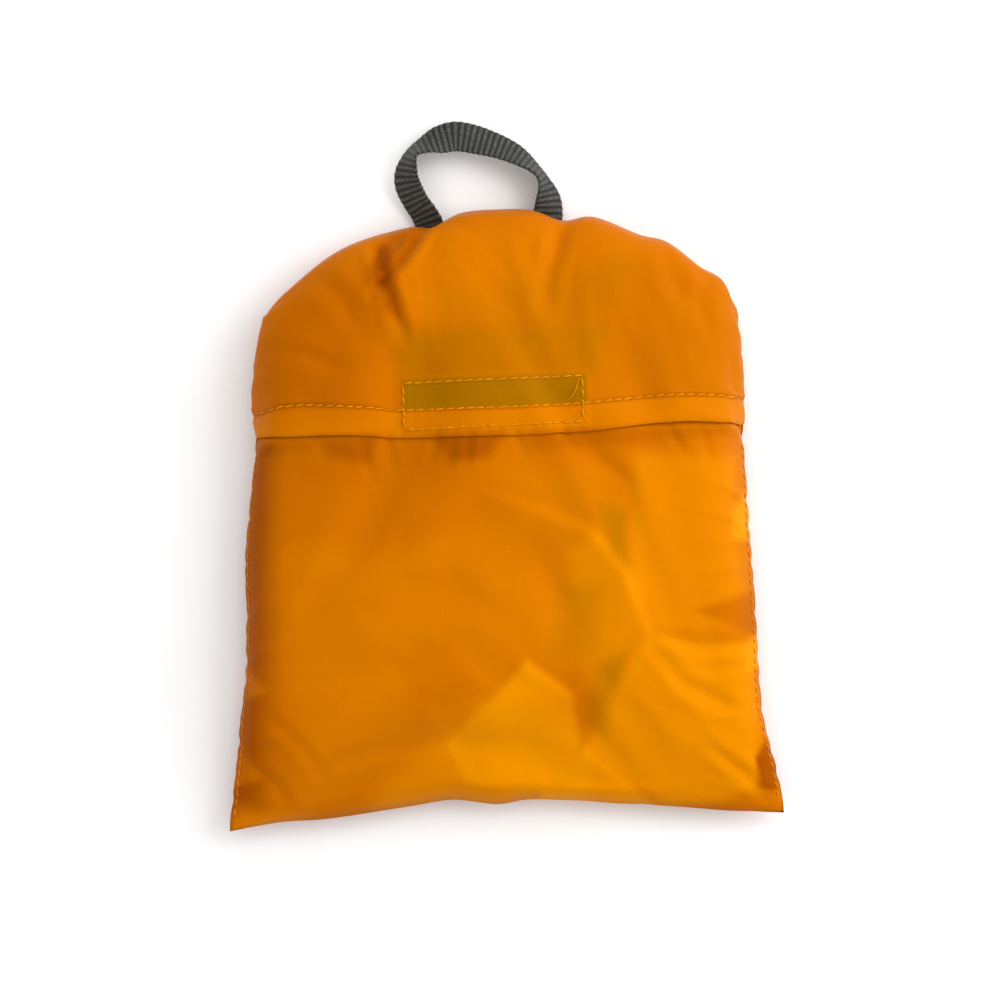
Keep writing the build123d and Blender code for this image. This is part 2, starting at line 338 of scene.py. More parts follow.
# ---- outline of the stuffed sack, seen from the front -----------------------------------
NU, NV = 64, 74
LEFT_SEAM = [(-96.8, -108.4), (-94.6, -92.6), (-92.2, -73.7), (-89.6, -55.0), (-88.6, -32.4), (-88.1, -12.7),
             (-85.6, 8.0), (-83.6, 24.8), (-84.1, 42.0), (-82.2, 58.0), (-79.8, 69.0)]
RIGHT_SEAM = [(95.2, -107.9), (93.2, -94.0), (90.2, -81.0), (88.5, -72.0), (87.9, -56.0), (87.3, -36.0),
              (86.4, -15.0), (85.7, 3.0), (85.0, 25.0), (85.4, 50.0), (84.4, 67.0)]
TOP_FOLD = [(-79.8, 69.0), (-71.0, 78.0), (-57.0, 89.0), (-45.0, 94.7), (-28.0, 98.8), (-20.5, 98.4),
            (-10.0, 103.2), (5.0, 104.0), (15.0, 103.2), (25.5, 99.5), (36.0, 100.3), (52.0, 93.6),
            (61.0, 90.8), (72.5, 81.9), (79.5, 77.0), (84.4, 67.0)]
BOTTOM_FOLD = [(-96.8, -108.4), (-80.0, -105.8), (-62.0, -105.0), (-34.0, -101.6), (-19.0, -99.8),
               (-4.0, -101.9), (9.0, -100.5), (37.0, -102.9), (63.0, -105.0), (80.0, -106.8), (95.2, -107.9)]

left = curve_through(LEFT_SEAM, NV + 1)
right = curve_through(RIGHT_SEAM, NV + 1)
top = curve_through(TOP_FOLD, NU + 1)
bottom = curve_through(BOTTOM_FOLD, NU + 1)
U, V = np.meshgrid(np.linspace(0, 1, NU + 1), np.linspace(0, 1, NV + 1))


def fill_in(bottom_edge, top_edge, left_edge, right_edge):
    """Spreads four edge curves over the whole grid (a Coons patch)."""
    u, v = U[..., None], V[..., None]
    corners = ((1 - u) * (1 - v) * bottom_edge[0] + u * (1 - v) * bottom_edge[-1]
               + (1 - u) * v * top_edge[0] + u * v * top_edge[-1])
    return ((1 - v) * bottom_edge[None] + v * top_edge[None]
            + (1 - u) * left_edge[:, None] + u * right_edge[:, None] - corners)


plan = fill_in(bottom, top, left, right)
across = 2 * U - 1
along = 2 * V - 1
FRONT_RISE = FRONT_HIGH.z - SEAM_Z
swell = (1 - np.abs(across) ** 2.6) ** 0.7 * (1 - np.abs(along) ** 5) ** 0.6
sag = (1 - np.abs(across) ** 5) ** 0.8 * (1 - np.abs(along) ** 7) ** 0.7
front_start = np.dstack([plan, SEAM_Z + (FRONT_RISE + 4) * swell])
back_start = np.dstack([plan, SEAM_Z - (SEAM_Z + 1) * sag])


# ---- cloth simulation: the flat bag drawn onto its packed contents -----------------------
def closed_grid(front, back):
    """Vertices and faces of two grids joined round their edges, and where each grid point went."""
    rows, columns = front.shape[:2]
    vertices = list(front.reshape(-1, 3))
    index_front = np.arange(rows * columns).reshape(rows, columns)
    index_back = index_front.copy()
    for j in range(1, rows - 1):
        for i in range(1, columns - 1):
            index_back[j, i] = len(vertices)
            vertices.append(back[j, i])
    faces = grid_faces(rows, columns) + back_faces(index_back)
    return np.array(vertices), faces, index_front, index_back


SIM_SCALE = 0.01    # metres in the simulation for each millimetre, ten times larger than life
SIM_FRAMES = 30


def enlarged(name, front, back):
    """A closed shape for the simulation, and where the grid points went."""
    vertices, faces, index_front, index_back = closed_grid(front, back)
    mesh = bpy.data.meshes.new(name)
    mesh.from_pydata([tuple(v) for v in vertices * SIM_SCALE], [], faces)
    piece = bpy.data.objects.new(name, mesh)
    scene.collection.objects.link(piece)
    return piece, index_front, index_back


def simulate():
    """Draws the bag's flat pattern tight over hidden contents."""
    bag, index_front, index_back = enlarged("bag", front_start, back_start)
    bag.shape_key_add(name="Basis")
    pattern = bag.shape_key_add(name="pattern")
    stretch = np.array([1.045, 1.035])
    flat_front = np.dstack([plan * stretch, np.full(U.shape, 0.5)])
    flat_back = np.dstack([plan * stretch, np.full(U.shape, -0.5)])
    flat = closed_grid(flat_front, flat_back)[0]
    pattern.data.foreach_set("co", (flat * SIM_SCALE).ravel())

    shrink = np.array([0.925, 0.950])
    ends = np.minimum(round_end((along - 0.5) / 0.5, 2.2), round_end((-along - 0.35) / 0.65, 1.9))
    body = (1 - np.abs(across) ** 6) ** 0.45 * ends
    middle = 16.3
    lumps = 0.9 * np.sin(plan[..., 0] / 17 + 1.0) * np.sin(plan[..., 1] / 23 + 0.4)
    content_top = np.dstack([plan * shrink, middle + (14.3 + lumps) * body])
    content_low = np.dstack([plan * shrink, middle - 15.0 * body])
    contents, _, _ = enlarged("contents", content_top, content_low)
    contents.modifiers.new("Collision", "COLLISION")
    contents.collision.thickness_outer = 0.005
    contents.collision.cloth_friction = 6

    cloth = bag.modifiers.new("Cloth", "CLOTH")
    cloth.collision_settings.distance_min = 0.008
    cloth.collision_settings.collision_quality = 3
    settings = cloth.settings
    settings.quality = 8
    settings.mass = 0.3
    settings.rest_shape_key = pattern
    settings.tension_stiffness = 30
    settings.compression_stiffness = 30
    settings.shear_stiffness = 8
    settings.bending_stiffness = 0.08
    settings.air_damping = 2
    settings.use_pressure = True
    settings.uniform_pressure_force = 0.05
    settings.effector_weights.gravity = 0
    for number in range(1, SIM_FRAMES + 1):
        scene.frame_set(number)
    shaped = bag.evaluated_get(bpy.context.evaluated_depsgraph_get())
    result = np.array([v.co for v in shaped.data.vertices]) / SIM_SCALE
    bpy.data.objects.remove(bag)
    bpy.data.objects.remove(contents)
    scene.frame_set(1)
    return result[index_front], result[index_back]


SOFTNESS = 0.80    # share of the smallest simulated wrinkles that is evened out


def settle(moved):
    """Evens out the smallest wrinkles of the simulated cloth, which is soft and well filled."""
    even = blur(blur(moved, 5).swapaxes(0, 1), 5).swapaxes(0, 1)
    return moved + (even - moved) * SOFTNESS


front, back = simulate()
front = front_start + settle(front - front_start)
back = back_start + settle(back - back_start)


def fit_outline(grid, keep):
    """Moves the grid so that its edges follow the outline at seam height, keeping their ripples."""
    def miss(edge, want):
        gap = np.column_stack([want, np.full(len(want), SEAM_Z)]) - edge
        return gap * (1 - keep) + blur(gap, 10) * keep
    return grid + fill_in(miss(grid[0], bottom), miss(grid[-1], top),
                          miss(grid[:, 0], left), miss(grid[:, -1], right))


RIPPLES_KEPT = 0.7
front = fit_outline(front, RIPPLES_KEPT)
back = fit_outline(back, RIPPLES_KEPT)

# The two bottom corners are flat ears, so the crumpled simulation gives way to the plain shape there.
EAR = 24.0
to_corner = np.hypot((1 - np.abs(across)) * 88, (1 + along) * 104)
ear = np.exp(-(to_corner / EAR) ** 2)[..., None]
front = front * (1 - ear) + front_start * ear
back = back * (1 - ear) + back_start * ear

# The front is twice as fine as the back, so every second point of it has one of the back behind it.
front = refine(front, 4)
back = refine(back, 2)
rows, columns = front.shape[:2]
fine_u, fine_v = np.meshgrid(np.linspace(0, 1, columns), np.linspace(0, 1, rows))
SACK_WIDTH, SACK_LENGTH = 175, 208
edge_u = np.minimum(fine_u, 1 - fine_u) * SACK_WIDTH
edge_v = np.minimum(fine_v, 1 - fine_v) * SACK_LENGTH
X, Y = front[..., 0].copy(), front[..., 1].copy()
away = smooth_step(0, 8, np.minimum(edge_u, edge_v))


# ---- folds, creases and puckers of the front ---------------------------------------------
def crease(points, depth, width, lip=0.5):
    """Valley of the cloth along a line, with a raised lip on both sides."""
    d, share, _ = distance_to(X, Y, points)
    taper = np.sin(np.pi * np.clip(share * 0.86 + 0.07, 0, 1)) ** 0.8
    valley = np.exp(-(d / width) ** 2)
    lips = np.exp(-((d - 1.9 * width) / width) ** 2)
    return depth * taper * (lip * lips - valley)


def ledge(points, height, width):
    """Step along a line: the cloth lies height higher on the line's left-hand side."""
    d, share, side = distance_to(X, Y, points)
    taper = smooth_step(0, 0.12, share) * smooth_step(0, 0.3, 1 - share)
    fade = np.exp(-(np.maximum(d - width, 0) / 16) ** 2)
    return height * taper * fade * (smooth_step(-width, width, side * d) - 0.5)


# Each fold: its kind, its line, its height or depth, and its width.
FOLDS = [
    # Folded layers of the contents, showing as soft ledges and ridges in the lower front.
    (ledge, [(-8, 8), (14, 0), (31, -8), (43, -22), (50, -44), (36, -64), (19, -82)], -2.0, 2.2),
    (ledge, [(-20, -80), (-6, -66), (7, -52), (22, -64), (25, -80)], -1.6, 1.6),
    (ledge, [(12, -96), (27, -83), (40, -94), (51, -103)], -1.2, 1.4),
    (crease, [(52, -44), (70, -50), (86, -48)], 0.7, 2.2),
    (crease, [(50, -47), (62, -62), (84, -74)], 0.9, 2.5),
    (crease, [(30, 20), (44, 8), (47, -8)], 0.6, 2.6),
    (crease, [(-84, -66), (-70, -80), (-62, -92)], 0.6, 2.0),
    (crease, [(-90, -84), (-80, -92), (-74, -103)], 0.8, 1.6),
    (crease, [(70, -84), (82, -94), (90, -104)], 0.9, 2.0),
    (crease, [(62, -98), (74, -101), (86, -104)], 0.6, 1.4),
    # Folds running down from the top fold between the humps of the contents.
    (ledge, [(-19, 104), (-26, 93), (-34, 83), (-42, 74)], 2.6, 1.4),
    (crease, [(-20, 102), (-27, 91), (-35, 81), (-41, 75)], 2.0, 1.8),
    (crease, [(-40, 94), (-38, 84), (-35, 74), (-31, 60)], 1.7, 2.2),
    (crease, [(25, 102), (23, 92), (20, 82), (18, 70)], 1.1, 2.6),
    (crease, [(12, 92), (16, 80), (17, 66)], 0.6, 3.0),
    (crease, [(-62, 84), (-52, 74), (-44, 60)], 0.8, 3.4),
    (crease, [(60, 90), (62, 78), (70, 66)], 0.9, 3.2),
    (crease, [(74, 80), (72, 70), (74, 58)], 0.7, 2.4),
    (crease, [(-80, 58), (-66, 56), (-52, 50)], 0.6, 2.6)]

lift = np.zeros(X.shape)
for kind, *fold in FOLDS:
    lift += kind(*fold)

# Short tension wrinkles that fan out below the flap.
for place, lean, reach in ((-47, 4, 16), (-38, 2, 11), (-20, -3, 9), (-9, -2, 12), (6, 3, 9), (22, 5, 8),
                           (58, 6, 10), (70, 3, 13)):
    lift += crease([(place, FLAP_Y + 1), (place + lean, FLAP_Y - reach)], 0.6, 1.5)


def seam_puckers(side_share, seed):
    """Puckers along a side seam: unevenly spaced, and gone a few millimetres in."""
    draw = random.Random(seed)
    height = np.zeros(X.shape)
    y = -106.0
    while y < 70:
        y += draw.uniform(5.0, 12.0)
        size = draw.uniform(0.25, 1.0)
        reach = draw.uniform(6.0, 15.0)
        slope = draw.uniform(-0.5, 0.5)
        inward = side_share * SACK_WIDTH
        d = (Y - y - slope * inward) / draw.uniform(1.3, 2.6)
        height += size * np.exp(-d ** 2) * np.exp(-(inward / reach) ** 1.5)
    return height


left_puckers = seam_puckers(fine_u, 11)
right_puckers = seam_puckers(1 - fine_u, 23)
lift += 1.5 * (left_puckers + right_puckers) - 0.7


def cloudy(size, seed):
    """Unevenness of soft cloth over packed fabric, in patches about size millimetres across."""
    out = np.empty(X.shape)
    for j in range(X.shape[0]):
        for i in range(X.shape[1]):
            out[j, i] = noise.noise(Vector((X[j, i] / size, Y[j, i] / size, seed)))
    return out


lift += 0.8 * cloudy(31.0, 3.0) + 0.15 * cloudy(13.0, 8.0)

front_normal = normals_of(front)
front = front + front_normal * (lift * away)[..., None]
RIPPLE_REACH = 4     # how far in from a seam its edge ripples reach
ripple = ((left_puckers - 0.5) * np.exp(-fine_u * SACK_WIDTH / RIPPLE_REACH)
          - (right_puckers - 0.5) * np.exp(-(1 - fine_u) * SACK_WIDTH / RIPPLE_REACH))
clear_of_ends = smooth_step(0, 0.02, fine_v) * smooth_step(1, 0.97, fine_v)
front[..., 0] += 0.7 * ripple * clear_of_ends
back[..., 0] += 0.7 * ripple[::2, ::2] * clear_of_ends[::2, ::2]
FLOOR_CLEAR = 0.35
back[..., 2] = np.maximum(back[..., 2], FLOOR_CLEAR)
# The webbing's sewn ends press into the back just below the top fold.
TAILS_X = (-20.2, 18.4)
TAIL_DEPTH = [(84, 0.35), (86, 1.95), (94, 2.4), (98, 5.2), (102, 6.5)]
for tail_x in TAILS_X:
    near_tail = smooth_step(8.5, 6.2, np.abs(back[..., 0] - tail_x))
    room = np.interp(back[..., 1], *zip(*TAIL_DEPTH), left=0.0)
    back[..., 2] = np.maximum(back[..., 2], room * near_tail)
front[..., 2] = np.maximum(front[..., 2], 2 * FLOOR_CLEAR)
front_normal = normals_of(front)


def inside_shape(x, y, shape, soft):
    """1 inside a closed outline, 0 outside, with a soft edge."""
    shape = np.array(shape + [shape[0]], float)
    d, _, _ = distance_to(x, y, shape)
    odd = np.zeros(x.shape, bool)
    for (ax, ay), (bx, by) in zip(shape[:-1], shape[1:]):
        crosses = (ay > y) != (by > y)
        with np.errstate(divide="ignore", invalid="ignore"):
            cut = (bx - ax) * (y - ay) / (by - ay) + ax
        odd ^= crosses & (x < cut)
    return smooth_step(-soft, soft, np.where(odd, d, -d))


# Painted light and painted shade: outline, change of painted lightness, and softness of the edge in
# millimetres.
PAINTED_LIGHT_SHAPES = [
    ([(22, -16), (34, -8), (47, -28), (48, -48), (34, -70), (28, -52)], 0.20, 4.0),
    ([(7, -52), (-20, -80), (-14, -94), (22, -98), (25, -80), (22, -64)], 0.34, 2.2),
    ([(-8, -66), (-48, -98), (-40, -112), (24, -112), (26, -80)], 0.26, 6.0),
    ([(27, -83), (12, -96), (8, -110), (58, -110)], 0.40, 1.2),
    ([(50, -44), (86, -48), (88, -100), (56, -106), (27, -83), (36, -66)], 0.36, 3.0),
    ([(47, 18), (82, 16), (84, -44), (50, -44), (43, -22)], 0.22, 4.0),
    ([(87, 6), (81, -2), (80, -12), (88, -14)], 0.42, 1.6),
    ([(91, -42), (83, -50), (84, -58), (90, -58)], 0.42, 1.4),
    ([(-90, -50), (-82, -60), (-90, -63)], 0.42, 1.4),
    ([(-92, -78), (-85, -90), (-96, -94)], 0.42, 1.6),
    ([(91, -78), (95, -90), (95.5, -97), (93.6, -92), (90.4, -83)], 0.6, 0.8),
    ([(-92, -100), (-72, -104), (-70, -112), (-100, -112)], 0.16, 4.0),
    ([(-18, 98), (24, 98), (20, 66), (-30, 66)], 0.08, 6.0),
    # The hem's band is lighter partly for its double layer of cloth and partly as painted light.
    ([(-88, 36.5), (88, 36.5), (88, 26), (-88, 26)], 0.12, 0.8),
    ([(-70, 14), (44, 16), (52, -44), (20, -62), (-70, -100), (-80, -20)], 0.12, 8.0)]
# Painted shade: the left side turned from the light, shadows under the flap's edge, dark creases and the
# bottom corner's pocket.
PAINTED_SHADE_SHAPES = [
    ([(-99, -100), (-86, -100), (-78, 24), (-90, 24)], -0.62, 7.0),
    ([(-70, 20), (-10, 22), (10, 2), (-40, -14), (-74, -8)], -0.10, 7.0),
    ([(20, -40), (27, -36), (30, -56), (22, -60)], -0.08, 4.0),
    ([(-86, 62), (-50, 88), (-38, 82), (-44, 34), (-84, 34)], -0.16, 8.0),
    ([(-36, -50), (-18, -42), (-8, -60), (-30, -72)], -0.08, 5.0),
    ([(67, -36.5), (87, -31), (89, -47), (80, -43)], -0.30, 2.4),
    ([(90.5, -82), (93, -92), (92.5, -100), (87, -98), (86, -88)], -1.0, 1.3),
    ([(-20, 100), (-26, 93), (-40, 77), (-43, 84), (-34, 97)], -0.34, 2.4),
    ([(-40, 92), (-36, 92), (-30, 64), (-38, 70)], -0.34, 2.6),
    ([(-62, 27), (-40, 27), (-44, 17), (-58, 20)], -0.34, 2.8),
    ([(-22, 26), (2, 26), (-3, 18), (-16, 17)], -0.40, 2.6),
    ([(10, 26), (80, 28), (80, 23), (12, 20)], -0.20, 2.2),
    ([(-88, 26), (-62, 26), (-64, 22), (-88, 21)], -0.20, 2.2)]
OLIVE_SHAPES = [
    ([(-36, 62), (38, 62), (34, 46), (-32, 45)], 0.40, 4.5),
    ([(33, 2), (43, -2), (44, -22), (38, -16)], 0.50, 3.0),
    ([(20, -26), (33, -28), (31, -52), (17, -50)], 0.34, 4.5),
    ([(30, -55), (42, -50), (34, -80), (27, -74)], 0.40, 3.0),
    ([(40, 92), (84, 70), (84, 36), (36, 38), (30, 70)], 0.12, 6.0),
    ([(-10, 60), (30, 62), (50, 84), (20, 82), (-14, 72)], 0.20, 7.0)]


def paint(piece, points, extra_olive=None, extra_shade=0.0):
    """Stores the cloth's painted light and painted shade, and how much of the dark layer under it shows."""
    x, y = points[:, 0], points[:, 1]
    shade = np.full(x.shape, 0.5) + extra_shade
    for shape, amount, soft in PAINTED_LIGHT_SHAPES + PAINTED_SHADE_SHAPES:
        shade += amount * inside_shape(x, y, shape, soft)
    under = np.zeros(x.shape)
    for shape, amount, soft in OLIVE_SHAPES:
        under += amount * inside_shape(x, y, shape, soft)
    if extra_olive is not None:
        under = np.maximum(under, extra_olive)
    for name, values in (("shade", np.clip(shade, 0, 1)), ("under", np.clip(under, 0, 1))):
        layer = piece.data.attributes.new(name, "FLOAT", "POINT")
        layer.data.foreach_set("value", values.astype(np.float32))


def thicken(piece, thickness, offset=-1.0, facing=None):
    """Gives a cloth surface its thickness, applied to the mesh.

    facing holds the surface's own normals, where two pieces meet and must look like one.
    """
    solid = piece.modifiers.new("Solidify", "SOLIDIFY")
    solid.thickness = thickness * MM
    solid.offset = offset
    solid.use_even_offset = False
    graph = bpy.context.evaluated_depsgraph_get()
    mesh = bpy.data.meshes.new_from_object(piece.evaluated_get(graph))
    piece.modifiers.clear()
    piece.data = mesh
    if facing is not None:
        mesh.normals_split_custom_set_from_vertices([tuple(n) for n in np.vstack([facing, -facing])])


def cloth_piece(name, grid, thickness, offset=-1.0):
    """A painted layer of the sack's cloth over a grid of points."""
    points = grid.reshape(-1, 3)
    piece = add_mesh(name, points, grid_faces(*grid.shape[:2]), NYLON)
    paint(piece, points)
    thicken(piece, thickness, offset)
    return piece


CLOTH = 0.30

# ---- pouch: back, bottom fold, and front panel up to its mouth ------------------------------
UNDER = 1.8        # front panel below the flap's surface, where the flap covers it
FOLD_ROUND = 12.0  # the back's cloth comes this far round the top fold before the flap can lift

covered = smooth_step(FLAP_Y - 1.0, FLAP_Y + 4.0, Y) * UNDER * smooth_step(0, 3, edge_u)
panel_grid = front - front_normal * covered[..., None]
mouth_row = int(np.argmin(np.abs(Y[:, columns // 2] - MOUTH_Y))) // 2 * 2


class Surface:
    """A grid of points that small pieces are placed on."""

    def __init__(self, grid, normals=None):
        self.points = grid.reshape(-1, 3)
        self.normals = (normals_of(grid) if normals is None else normals).reshape(-1, 3)

    def at(self, x, y, height):
        """Point at (x, y), height above the surface."""
        nearest = int(np.argmin((self.points[:, 0] - x) ** 2 + (self.points[:, 1] - y) ** 2))
        n, p = self.normals[nearest], self.points[nearest]
        z = p[2] - ((x - p[0]) * n[0] + (y - p[1]) * n[1]) / max(n[2], 0.3)
        return np.array([x, y, z]) + n * height


def pouch():
    lower = panel_grid[:mouth_row + 1:2, ::2]
    n_col = lower.shape[1]
    vertices = list(lower.reshape(-1, 3))
    faces = grid_faces(lower.shape[0], n_col)
    # The back shares the side and bottom edges with the front, up to the mouth.
    index_back = np.full(back.shape[:2], -1)
    for j in range(back.shape[0]):
        for i in range(n_col):
            on_edge = i in (0, n_col - 1) or j == 0
            if on_edge and j < lower.shape[0]:
                index_back[j, i] = j * n_col + i
            else:
                index_back[j, i] = len(vertices)
                vertices.append(back[j, i])
    faces += back_faces(index_back)
    # Past the top fold the back's cloth comes a little way round to the front, under the flap.
    fold_rows = [j for j in range(rows - 3, 0, -2) if TOP_Y - Y[j, columns // 2] < FOLD_ROUND]
    above = index_back[-1].tolist()
    for j in fold_rows:
        here = range(len(vertices), len(vertices) + n_col)
        vertices.extend((front[j] - front_normal[j] * UNDER)[::2])
        for i in range(n_col - 1):
            faces.append((here[i], here[i + 1], above[i + 1], above[i]))
        above = here
    vertices = np.array(vertices)
    piece = add_mesh("pouch_cloth", vertices, faces, NYLON)
    paint(piece, vertices)
    thicken(piece, CLOTH)
    return piece


pouch_cloth = pouch()

# ---- flap --------------------------------------------------------------------------------
HEM = 9.5
EDGE = curve_through([(-86, FLAP_Y + 0.4), (-50, FLAP_Y + 0.1), (-33, FLAP_Y - 1.4), (-8, FLAP_Y - 1.6),
                      (10, FLAP_Y - 1.6), (28, FLAP_Y - 1.2), (40, FLAP_Y - 0.3), (54, FLAP_Y + 1.0),
                      (67, FLAP_Y + 1.3), (78, FLAP_Y + 0.5), (87, FLAP_Y - 0.4)], 60)
STITCH_DIP = [(-86, -2.6), (-74, 0.8), (-66, 1.2), (-50, 0.2), (-34, 0.0), (0, 0.1), (30, 0.2), (56, -0.2),
              (66, -0.4), (78, -0.2), (87, -0.8)]


def edge_y(x):
    return np.interp(x, EDGE[:, 0], EDGE[:, 1])


def hem_line_y(x):
    """Height of the hem's stitch line above the flap's edge."""
    return edge_y(x) + HEM + np.interp(x, *zip(*STITCH_DIP))


# The flap's own grid: columns follow the front's, rows run from the hem's edge to the top fold.
FLAP_ROWS = 130
FLAP_RUN = 78      # from the flap's edge to the top fold
BELOW_FLAP = 0.62  # share of the front's rows that lie below the flap's edge
flap_points = np.empty((FLAP_ROWS, columns, 3))
flap_normals = np.empty((FLAP_ROWS, columns, 3))
for i in range(columns):
    column_y = front[:, i, 1]
    order = np.maximum.accumulate(column_y + np.arange(rows) * 1e-6)
    low = edge_y(front[int(rows * BELOW_FLAP), i, 0])
    want = np.linspace(low, order[-1], FLAP_ROWS)
    for k in range(3):
        flap_points[:, i, k] = np.interp(want, order, front[:, i, k])
        flap_normals[:, i, k] = np.interp(want, order, front_normal[:, i, k])
flap_normals /= np.linalg.norm(flap_normals, axis=2, keepdims=True)

fx, fy = flap_points[..., 0], flap_points[..., 1]
from_edge = fy - edge_y(fx)
to_side = edge_u[0][None, :]
proud = 0.25 + 0.9 * np.exp(-from_edge / 9) * smooth_step(0, 14, to_side)
hem_band = smooth_step(HEM + 1.2, HEM + 0.4, from_edge) * 0.30
stitch_gap = fy - hem_line_y(fx)
furrow = -0.38 * np.exp(-(stitch_gap / 0.9) ** 2)
roll = -0.45 * np.exp(-from_edge / 0.6)
waves = 0.30 * np.sin(fx / 4.1 + 0.9 * np.sin(fx / 13)) * np.exp(-(stitch_gap / 5.5) ** 2)
waves += 0.16 * np.sin(fx / 2.3 + 1.3) * np.exp(-((stitch_gap - 2) / 3.0) ** 2)
waves *= 1 - (0.7 * smooth_step(PATCH_LOW.x - 4, PATCH_LOW.x, fx)
              * smooth_step(PATCH_HIGH.x + 4, PATCH_HIGH.x, fx))
in_patch = (smooth_step(PATCH_LOW.x - 1.5, PATCH_LOW.x + 0.5, fx)
            * smooth_step(PATCH_HIGH.x + 1.5, PATCH_HIGH.x - 0.5, fx)
            * smooth_step(PATCH_LOW.y - 2.5, PATCH_LOW.y - 0.5, fy)
            * smooth_step(PATCH_HIGH.y + 1.5, PATCH_HIGH.y - 0.5, fy))
plate = 0.55 * in_patch
join = smooth_step(0, 3, np.linspace(1, 0, FLAP_ROWS)[:, None] * FLAP_RUN)
flap_lift = (proud + hem_band + furrow + roll + waves + plate) * join
flap_surface = flap_points + flap_normals * flap_lift[..., None]
on_flap = Surface(flap_surface, flap_normals).at


def swing(piece):
    """Bakes the piece's transform into its mesh."""
    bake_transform(piece)
    return piece


middle_column = int(np.argmin(np.abs(fx[FLAP_ROWS // 2])))


def to_fine_columns(grid):
    return refine_axis(grid.swapaxes(0, 1), 2).swapaxes(0, 1)


# Past the fold the flap's cloth goes on a little way down inside the back, which it is part of.
FOLD_ROWS = 6
turn = to_fine_columns(back[-1 - FOLD_ROWS:-1][::-1])
turn_up = to_fine_columns(normals_of(back)[-1 - FOLD_ROWS:-1][::-1])
clear = np.minimum(np.arange(1, FOLD_ROWS + 1) / 2, 1) * 0.7
turn = turn + turn_up * clear[:, None, None]
flap_sheet = np.concatenate([flap_surface, turn])
surface_normals = normals_of(flap_sheet)
halves = {-1: slice(0, middle_column + 1), 1: slice(middle_column, columns)}
side_name = {-1: "left", 1: "right"}
flap_pieces = {}
show = np.concatenate([in_patch * smooth_step(-0.2, 0.8, stitch_gap), np.zeros(turn.shape[:2])])
# Painted shade: a dark line along the hem's stitches, in the furrow where they pull the cloth in.
stitch_furrow_shade = np.concatenate([-0.34 * np.exp(-(stitch_gap / 0.8) ** 2), np.zeros(turn.shape[:2])])
for side, part in halves.items():
    grid = flap_sheet[:, part]
    points = grid.reshape(-1, 3)
    piece = add_mesh(f"flap_cloth_{side_name[side]}", points, grid_faces(*grid.shape[:2]), NYLON)
    paint(piece, points, 0.85 * show[:, part].reshape(-1), stitch_furrow_shade[:, part].reshape(-1))
    thicken(piece, CLOTH, facing=surface_normals[:, part].reshape(-1, 3))
    flap_pieces[side] = piece


def hem_layer(side):
    """The turned-under layer along the flap's lower edge, on its inside."""
    part = halves[side]
    depth = int(np.argmin(np.abs(from_edge[:, columns // 2] - HEM - 1)))
    grid = (flap_surface - flap_normals * (CLOTH + 0.22))[:depth:2, part]
    grid[0] = (flap_surface - flap_normals * (CLOTH * 0.6))[0, part]
    return cloth_piece(f"flap_hem_{side_name[side]}", grid, CLOTH * 0.7)


def tape(name, surface, x_range, raised, thickness, offset):
    """A piece of hook-and-loop tape over the patch's height, laid on a surface."""
    xs = np.linspace(*x_range, 30)
    ys = np.linspace(PATCH_LOW.y, PATCH_HIGH.y, 18)
    grid = np.array([[surface(x, y, raised) for x in xs] for y in ys])
    grid = blur(blur(grid, 4).swapaxes(0, 1), 4).swapaxes(0, 1)
    piece = add_mesh(name, grid.reshape(-1, 3), grid_faces(*grid.shape[:2]), PATCH)
    thicken(piece, thickness, offset)
    return piece


def patch_piece(side):
    """Half of the hook patch under the flap."""
    ends = (PATCH_LOW.x, 0.0) if side < 0 else (0.0, PATCH_HIGH.x)
    return tape(f"hook_patch_{side_name[side]}", on_flap, ends, -2 * CLOTH - 0.25, 0.45, -1.0)


hem_pieces = {side: hem_layer(side) for side in halves}
patch_pieces = {side: patch_piece(side) for side in halves}


# ---- stitches ------------------------------------------------------------------------------
def thread_tube(path, radius, vertices, faces, sides=7):
    """Adds a small tube with rounded ends along a path of points to the lists."""
    path = np.array(path, float)
    count = len(path)
    start = len(vertices)
    for k, p in enumerate(path):
        a, b = path[max(k - 1, 0)], path[min(k + 1, count - 1)]
        run = (b - a) / np.linalg.norm(b - a)
        up = np.array([0, 0, 1.0]) if abs(run[2]) < 0.9 else np.array([1.0, 0, 0])
        one = np.cross(run, up)
        one /= np.linalg.norm(one)
        two = np.cross(run, one)
        share = k / (count - 1)
        thick = radius * (0.35 + 0.65 * math.sin(math.pi * min(max(share, 0.02), 0.98)) ** 0.45)
        for s in range(sides):
            angle = 2 * math.pi * s / sides
            vertices.append(p + thick * (math.cos(angle) * one + math.sin(angle) * two))
    for k in range(count - 1):
        for s in range(sides):
            a = start + k * sides + s
            b = start + k * sides + (s + 1) % sides
            faces.append((a, b, b + sides, a + sides))
    faces.append(tuple(start + s for s in range(sides))[::-1])
    faces.append(tuple(start + (count - 1) * sides + s for s in range(sides)))


